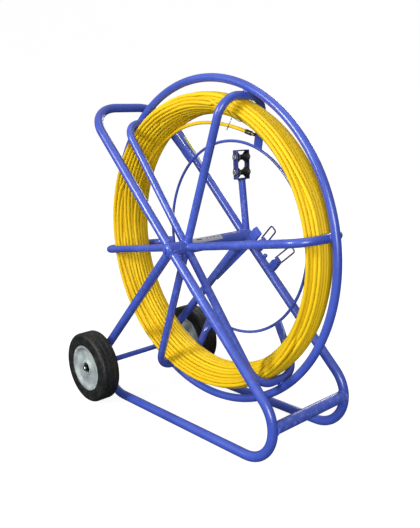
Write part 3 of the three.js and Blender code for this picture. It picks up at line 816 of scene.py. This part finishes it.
def fullest_lattice(normals, reaches, pitch, row_step):
    """The triangular lattice with the most places inside the outline."""
    best = []
    for start in np.arange(0, row_step, 0.7):
        for shift in np.arange(0, pitch, 0.7):
            points = [(OUTERMOST - start - row * row_step, NEAREST + shift + (column + row % 2 / 2) * pitch)
                      for row in range(9) for column in range(16)]
            inside = [p for p in points if np.all(normals @ np.array(p) <= reaches + OVERFILL)]
            best = max(best, inside, key=len)
    return np.array(best, float)


def packed_places(normals, reaches, pitch):
    """Places for the turns, eased apart to fill the outline, row by row in snaking order."""
    row_step = pitch * math.sqrt(0.75)
    places = fullest_lattice(normals, reaches, pitch, row_step)
    for _ in range(400):
        gap = places[:, None] - places[None]
        distance = np.sqrt((gap ** 2).sum(-1)) + 1e-9
        overlap = np.clip(pitch + 0.5 - distance, 0, None)
        np.fill_diagonal(overlap, 0)
        places = places + 0.4 * (gap * (overlap / distance)[..., None]).sum(1)
        places = kept_inside(places, normals, reaches)
    rows = np.round((places[:, 0].max() - places[:, 0]) / row_step).astype(int)
    ordered = []
    for row in range(rows.max() + 1):
        line = places[rows == row]
        line = line[np.argsort(line[:, 1])]
        ordered += list(line if row % 2 == 0 else line[::-1])
    return np.array(ordered)


def smooth_step(t):
    """0 to 1 with an even start and end."""
    return t * t * (3 - 2 * t)


def smooth_noise(rng, count, spacing):
    """A wandering value about 0 with a spread of about 1."""
    knots = rng.normal(size=count // spacing + 4)
    where = np.arange(count) / spacing
    low = where.astype(int)
    t = smooth_step(where - low)
    return knots[low] * (1 - t) + knots[low + 1] * t


def push_apart(places, diameter):
    """Moves turns that overlap at a station away from each other by half of the overlap each."""
    grid = places.reshape(-1, STATIONS, 2).transpose(1, 0, 2)
    gap = grid[:, :, None] - grid[:, None]
    distance = np.sqrt((gap ** 2).sum(-1)) + 1e-9
    overlap = np.clip(diameter - distance, 0, None)
    turns = grid.shape[1]
    overlap[:, np.arange(turns), np.arange(turns)] = 0
    move = (gap * (0.5 * overlap / distance)[..., None]).sum(2)
    return places + 0.8 * move.transpose(1, 0, 2).reshape(-1, 2)


def near_face(angle):
    """A flat near face on the front and upper part of the winding: its normal and reach at each station."""
    x, y, z = FLAT_FACING
    normal = unit(np.stack([x * np.cos(angle) + z * np.sin(angle), np.full(len(angle), y)], -1))
    share = smooth_step(np.clip(np.cos(angle - FLAT_ANGLE) / 0.5, 0, 1))
    reach = normal @ FLAT_POINT - ROD_RADIUS + 30 * (1 - share)
    return normal, reach


def settle_winding():
    """The (radius, y) place of every station of the rod, without overlaps and inside the outline."""
    rng = np.random.default_rng(7)
    normals, reaches = outline_planes()
    base = packed_places(normals, reaches, TURN_PITCH)
    turns = len(base) - 1
    share = smooth_step(np.tile(np.arange(STATIONS) / STATIONS, turns))
    index = np.repeat(np.arange(turns), STATIONS)
    places = base[index] * (1 - share)[:, None] + base[index + 1] * share[:, None]
    angle = TURN_START - 2 * math.pi * np.arange(len(places)) / STATIONS
    loose = 0.4 + 1.8 * np.clip(np.cos(angle - LOOSE_ANGLE), 0, 1) ** 3
    wander_in = 2.0 * smooth_noise(rng, len(places), 60)
    wander_across = 7 * smooth_noise(rng, len(places), 75)
    goal = places + np.stack([wander_in, wander_across], -1) * loose[:, None]
    face, face_reach = near_face(angle)
    for step in range(SETTLING_STEPS):
        if step < WANDERING_STEPS:
            places = places + 0.14 * min(1.0, step / 30) * (goal - places)
        places[1:-1] += 0.12 * ((places[:-2] + places[2:]) / 2 - places[1:-1])
        for _ in range(3):
            places = push_apart(places, 2 * ROD_RADIUS + 0.15)
            places = kept_inside(places, normals, reaches)
            over = np.clip((places * face).sum(-1) - face_reach, 0, None)
            places = places - over[:, None] * face
    return places


TAIL_START, TAIL_BOW, TAIL_END = np.array([(-140, 300.2), (-30, 336.5), (122, 291)])  # x and z from the hub


def lead_path(first_angle, first_radius, first_side):
    """From the last turn inwards to the start of the loose end."""
    tail_radius = np.hypot(*TAIL_START)
    tail_angle = math.atan2(TAIL_START[1], TAIL_START[0])
    t = np.linspace(0, 1, 14)[1:-1]
    along = first_angle + (tail_angle - first_angle) * t
    reach = first_radius + (tail_radius - first_radius) * (0.35 * t + 0.65 * t * t)
    across = first_side + (TAIL_SIDE - first_side) * smooth_step(t)
    return np.stack([reach * np.cos(along), across, reach * np.sin(along)], -1)


def tail_path():
    """The loose end, which bows across the inside of the winding."""
    t = np.linspace(0, 1, 22)[:, None]
    flat = TAIL_START * (1 - t) ** 2 + TAIL_BOW * 2 * t * (1 - t) + TAIL_END * t * t
    return np.stack([flat[:, 0], np.full(len(flat), TAIL_SIDE), flat[:, 1]], -1)


def make_rod():
    """The winding, its lead inwards and its loose end, all along one curve."""
    places = settle_winding()
    angle = TURN_START - 2 * math.pi * np.arange(len(places)) / STATIONS
    winding = np.stack([places[:, 0] * np.cos(angle), places[:, 1], places[:, 0] * np.sin(angle)], -1)
    lead = lead_path(angle[-1] % (2 * math.pi), *places[-1])
    path = np.concatenate([winding, lead, tail_path()]) + HUB
    rod = piece("rod_winding", swept(path, ROD_RADIUS, ROD_SIDES), ROD_YELLOW, "reel", sharp=60,
                replaces=["rod_coil", "rod_tail"])
    tone = smooth_noise(np.random.default_rng(3), len(path), 130)
    add_tone(rod, np.clip(0.5 + 0.35 * tone, 0, 1))
    make_rod_tip()


def make_rod_tip():
    """The ferrule on the end of the rod."""
    direction = unit(TAIL_END - TAIL_BOW)
    ferrule = eased([(0, 0.4), (6, 0.4), (6, 20), (4.2, 23), (4.2, 32), (0, 32)], 0.7, closed=False)
    matrix = np.array([[direction[1], direction[0], 0], [0, 0, 1], [-direction[0], direction[1], 0]])
    origin = HUB + (TAIL_END[0], TAIL_SIDE, TAIL_END[1])
    tip = placed(turned(ferrule, 32, closed=False), origin, matrix)
    piece("rod_tip_ferrule", tip, DULL_BRASS, "reel", replaces=["rod_tip"])


def add_tone(obj, tone):
    """Writes each station's tone on the vertices round it."""
    mesh = obj.data
    attribute = mesh.attributes.new("turn_tone", "FLOAT", "POINT")
    per_vertex = np.repeat(tone, ROD_SIDES)
    values = np.full(len(mesh.vertices), 0.5, np.float32)
    count = min(len(values), len(per_vertex))
    values[:count] = per_vertex[:count]
    attribute.data.foreach_set("value", values)


# ---- the rod guide and what stands on the far front leg ----
def roller_part():
    """A waisted roller with a bore and rounded rims."""
    steps = np.linspace(-1, 1, 25)
    outline = [(7.5 + 8.5 * u * u, 19 * u) for u in steps]
    profile = [(4.3, -19), *outline, (4.3, 19)]
    radii = [0.5, 1.2, *[0] * (len(outline) - 2), 1.2, 0.5]
    return turned(eased(profile, radii), 56)


def make_guide():
    top = (0, HEAD_SIDE, HEAD_HEIGHT - HEAD_TALL / 2 - 1.7)
    foot = np.array([0, ARM_SIDE, HUB_HEIGHT + COLLAR_RADIUS - 4])
    piece("guide_arm_tube", swept([foot, top], ARM_RADIUS, 40), FRAME_BLUE, "frame", replaces=["guide_arm"])
    # The head and its weld take the darker blue: painted shade.
    softened("guide_head", SHADED_GUIDE_BLUE, "frame", 1.0)
    angle = full_turn(72)
    ring = np.stack([9.2 * np.cos(angle), HEAD_SIDE + 10.4 * np.sin(angle), np.full(72, top[2] + 0.4)], -1)
    piece("guide_head_weld", bead(dense(ring), 1.6, 2.2), SHADED_GUIDE_BLUE, "frame")
    for label, side in (("upper", 1), ("lower", -1)):
        centre = (0, HEAD_SIDE, HEAD_HEIGHT + side * ROLLER_SPREAD)
        piece(f"guide_roller_{label}_waisted", placed(roller_part(), centre), NYLON, f"roller_{label}",
              replaces=[f"guide_roller_{label}"])
        softened(f"guide_bolt_{label}", ZINC, "frame", 0.6)
        softened(f"guide_nut_{label}", ZINC, "frame", 0.6)


def make_leg_fittings():
    softened("leg_bracket", FRAME_BLUE, "frame", 0.8)
    softened("leg_peg", FRAME_BLUE, "frame", 0.8)
    for label in ("upper", "lower"):
        softened(f"latch_block_{label}", FRAME_BLUE, "frame", 1.0)
        # The bails take the darker blue: painted shade.
        softened(f"latch_bail_{label}", SHADED_GUIDE_BLUE, f"bail_{label}", 0.3, 1)


def make_hub_fixings():
    """The axle's painted ends, with a low dome round each screw, and the reel's bushes."""
    dome = [(5.4, 153.1), (5.4, 153.9), (10, 153.5), (14, 151.6), (17.2, 148.6), (17.2, 147.9), (10.4, 147.9),
            (10.4, 153.1)]
    dome = eased(dome, [0.3, 0.6, 3, 3, 0.8, 0.3, 0.1, 0.1])
    for label, side in ENDS:
        cap = placed(turned(dome * (1, side), 64), HUB)
        piece(f"axle_cap_{label}", cap, FRAME_BLUE, "frame", 50)
        softened(f"axle_screw_{label}", FRAME_BLUE, "frame", 0.6)
        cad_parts[f"hub_bush_{label}"].data.materials[0] = NYLON
    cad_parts["reel_axle"].data.materials[0] = FRAME_BLUE


# ---- stickers and ties ----
TIE_ANGLE = math.radians(69)  # up from +X
TIE_HANG = 34  # how far the twisted end hangs down


def patch(origin, direction, facing, radius, start, end, spread, thick=0.25):
    """A thin film bent round a tube, between two distances along it."""
    direction = unit(direction)
    facing = unit(np.asarray(facing, float) - direction * (np.asarray(facing, float) @ direction))
    side = np.cross(direction, facing)
    angles = np.linspace(-spread, spread, 18)
    lengths = np.linspace(start, end, 12)
    arc = np.outer(np.cos(angles), facing) + np.outer(np.sin(angles), side)
    verts = [origin + direction * length + layer * arc
             for layer in (radius, radius + thick) for length in lengths]
    faces = []
    columns, rows = len(angles), len(lengths)

    def at(layer, i, j):
        return (layer * rows + i) * columns + j

    for i in range(rows - 1):
        for j in range(columns - 1):
            faces.append([at(0, i, j), at(0, i, j + 1), at(0, i + 1, j + 1), at(0, i + 1, j)])
            faces.append([at(1, i, j), at(1, i + 1, j), at(1, i + 1, j + 1), at(1, i, j + 1)])
    for i in range(rows - 1):
        for j in (0, columns - 1):
            faces.append([at(0, i, j), at(0, i + 1, j), at(1, i + 1, j), at(1, i, j)])
    for j in range(columns - 1):
        for i in (0, rows - 1):
            faces.append([at(0, i, j), at(1, i, j), at(1, i, j + 1), at(0, i, j + 1)])
    return np.concatenate(verts), faces


def make_stickers():
    leg_foot = hub_point(FRAME_SIDE, HANDLE_ANGLE, 0)
    along = hub_point(0, HANDLE_ANGLE, 1) - HUB
    facing = (0.7246, 0.22, 0.689)
    for name, start, end, material in (("leg_label_upper", 318, 372, STICKER_YELLOW),
                                       ("leg_label_lower", 262, 317.5, STICKER_WHITE)):
        piece(name, patch(leg_foot, along, facing, FRAME_TUBE + 0.05, start, end, 0.6), material, "frame", 30)
    label = patch(HUB, (0, 1, 0), (0.35, 0, 0.94), HUB_TUBE_RADIUS + 0.05, -74, 34, 0.75)
    piece("hub_label", label, STICKER_GREY, "reel", 30)
    dashes = [patch(HUB, (0, 1, 0), (0.5, 0, 0.87), HUB_TUBE_RADIUS + 0.3, start, end, 0.09, 0.08)
              for start, end in ((-54, -36), (-20, -15), (-8, -3), (5, 11), (20, 25))]
    piece("hub_label_dashes", merged(dashes), BLACK_SHADE_AND_PRINT, "reel", 30)


def make_tie():
    """A thin wire tied round the bundle, with a twisted end that hangs inwards."""
    outline = np.array(WINDING_OUTLINE)
    middle = outline.mean(0)
    away = outline - middle
    loop = eased(middle + away * (1 + 1.6 / np.linalg.norm(away, axis=1, keepdims=True)), 5, steps=4)
    cos, sin = math.cos(TIE_ANGLE), math.sin(TIE_ANGLE)
    out, around = np.array([cos, 0, sin]), np.array([-sin, 0, cos])
    band = HUB + out * loop[:, :1] + np.array([0, 1, 0]) * loop[:, 1:]
    parts = [swept(dense(band, spacing=3), 0.75, 8, closed=True)]
    t = np.linspace(0, 1, 40)
    knot = HUB + out * 349 + np.array([0, -24, 0])
    for strand in (0, math.pi):
        twist = strand + t * 5 * math.pi
        spread = 0.8 + 2.2 * np.clip(t - 0.6, 0, 1)
        drop = -TIE_HANG * t
        sway = 5 * t * t
        curve = (knot + out * drop[:, None] + around * (sway + spread * np.cos(twist))[:, None]
                 + np.array([0, 1, 0]) * (-1.5 - 3 * t + spread * np.sin(twist))[:, None])
        parts.append(swept(curve, 0.7, 8))
    piece("winding_tie_1", merged(parts), TIE_WIRE, "reel")


# ---- the studio ----
FOCAL_SHARE = 645.27 / 528  # the focal length over the picture's longer side


def make_camera():
    azimuth, pitch, roll = (math.radians(a) for a in (48.53, 12.02, -2.08))
    target, distance = np.array([-3.11, 0, 427.53]), 1752.51
    level = np.array([math.cos(azimuth), math.sin(azimuth), 0])
    ahead = np.array([-math.sin(azimuth), math.cos(azimuth), 0])
    look = ahead * math.cos(pitch) - np.array([0, 0, math.sin(pitch)])
    above = np.cross(level, look)
    right = level * math.cos(roll) + above * math.sin(roll)
    up = above * math.cos(roll) - level * math.sin(roll)
    camera = bpy.data.objects.new("camera", bpy.data.cameras.new("camera"))
    bpy.context.scene.collection.objects.link(camera)
    place = Vector((target - look * distance) * MM)
    rotation = Matrix(np.stack([right, up, -look], 1).tolist()).to_quaternion()
    camera.matrix_world = Matrix.LocRotScale(place, rotation, None)
    camera.data.sensor_width = 36
    camera.data.lens = FOCAL_SHARE * camera.data.sensor_width
    camera.data.clip_start = 0.05
    bpy.context.scene.camera = camera


def make_floor():
    """A bowl that only the camera sees: near white of itself, with a little room left for soft shadows."""
    profile = [(0.001, 0), (3.0, 0)]
    for angle in np.linspace(0, math.pi / 2, 12)[1:]:
        profile.append((3.0 + 1.5 * math.sin(angle), 1.5 - 1.5 * math.cos(angle)))
    profile.append((4.5, 6.0))
    verts, faces = turned(profile, 96, closed=False)
    mesh = bpy.data.meshes.new("floor")
    mesh.from_pydata(verts[:, [0, 2, 1]].tolist(), [], faces)
    mesh.shade_smooth()
    shader = Shader("floor_paper", "floor", Roughness=0.9, Emission_Strength=0.9)
    shader.surface.inputs["Emission Color"].default_value = (1, 1, 1, 1)
    tone = shader.mix(shader.noise(3, 2), (0.2, 0.2, 0.2, 1), (0.22, 0.22, 0.22, 1))
    mesh.materials.append(shader.finish(tone))
    floor = bpy.data.objects.new("floor", mesh)
    bpy.context.scene.collection.objects.link(floor)
    floor.visible_diffuse = False
    floor.visible_glossy = False
    floor.visible_transmission = False
    floor.visible_shadow = False


def area_light(name, place, size, power):
    """A white disc that faces the middle of the object."""
    light = bpy.data.lights.new(name, "AREA")
    light.shape = "DISK"
    light.size = size
    light.energy = power
    obj = bpy.data.objects.new(name, light)
    obj.location = place
    obj.rotation_mode = "QUATERNION"
    obj.rotation_quaternion = (Vector((0, 0, 0.45)) - Vector(place)).to_track_quat("-Z", "Y")
    bpy.context.scene.collection.objects.link(obj)


def make_world():
    """Bright overhead and dim below the horizon, so that undersides fall off."""
    world = bpy.data.worlds.new("studio")
    world.use_nodes = True
    tree = world.node_tree
    place = tree.nodes.new("ShaderNodeTexCoord")
    split = tree.nodes.new("ShaderNodeSeparateXYZ")
    ramp = tree.nodes.new("ShaderNodeMapRange")
    for key, number in (("From Min", -0.15), ("From Max", 0.8), ("To Min", 0.05), ("To Max", 0.5)):
        ramp.inputs[key].default_value = number
    tree.links.new(place.outputs["Generated"], split.inputs["Vector"])
    tree.links.new(split.outputs["Z"], ramp.inputs["Value"])
    background = tree.nodes["Background"]
    background.inputs["Color"].default_value = (1, 1, 1, 1)
    tree.links.new(ramp.outputs["Result"], background.inputs["Strength"])
    bpy.context.scene.world = world


def make_lights():
    area_light("key", (-0.7, -2.7, 1.7), 1.0, 74)
    area_light("fill", (2.4, -1.9, 1.0), 1.2, 60)
    area_light("top", (0.2, 0.2, 3.2), 1.4, 6)
    area_light("back", (-1.3, 2.8, 1.5), 1.4, 34)
    make_world()
    bpy.context.scene.view_settings.view_transform = "Standard"


make_camera()
make_floor()
make_lights()
make_frame_tubes()
make_frame_welds()
make_hub_fixings()
make_wheels()
make_wheel_axle()
make_cage()
make_cage_welds()
make_rod()
make_guide()
make_leg_fittings()
make_stickers()
make_tie()
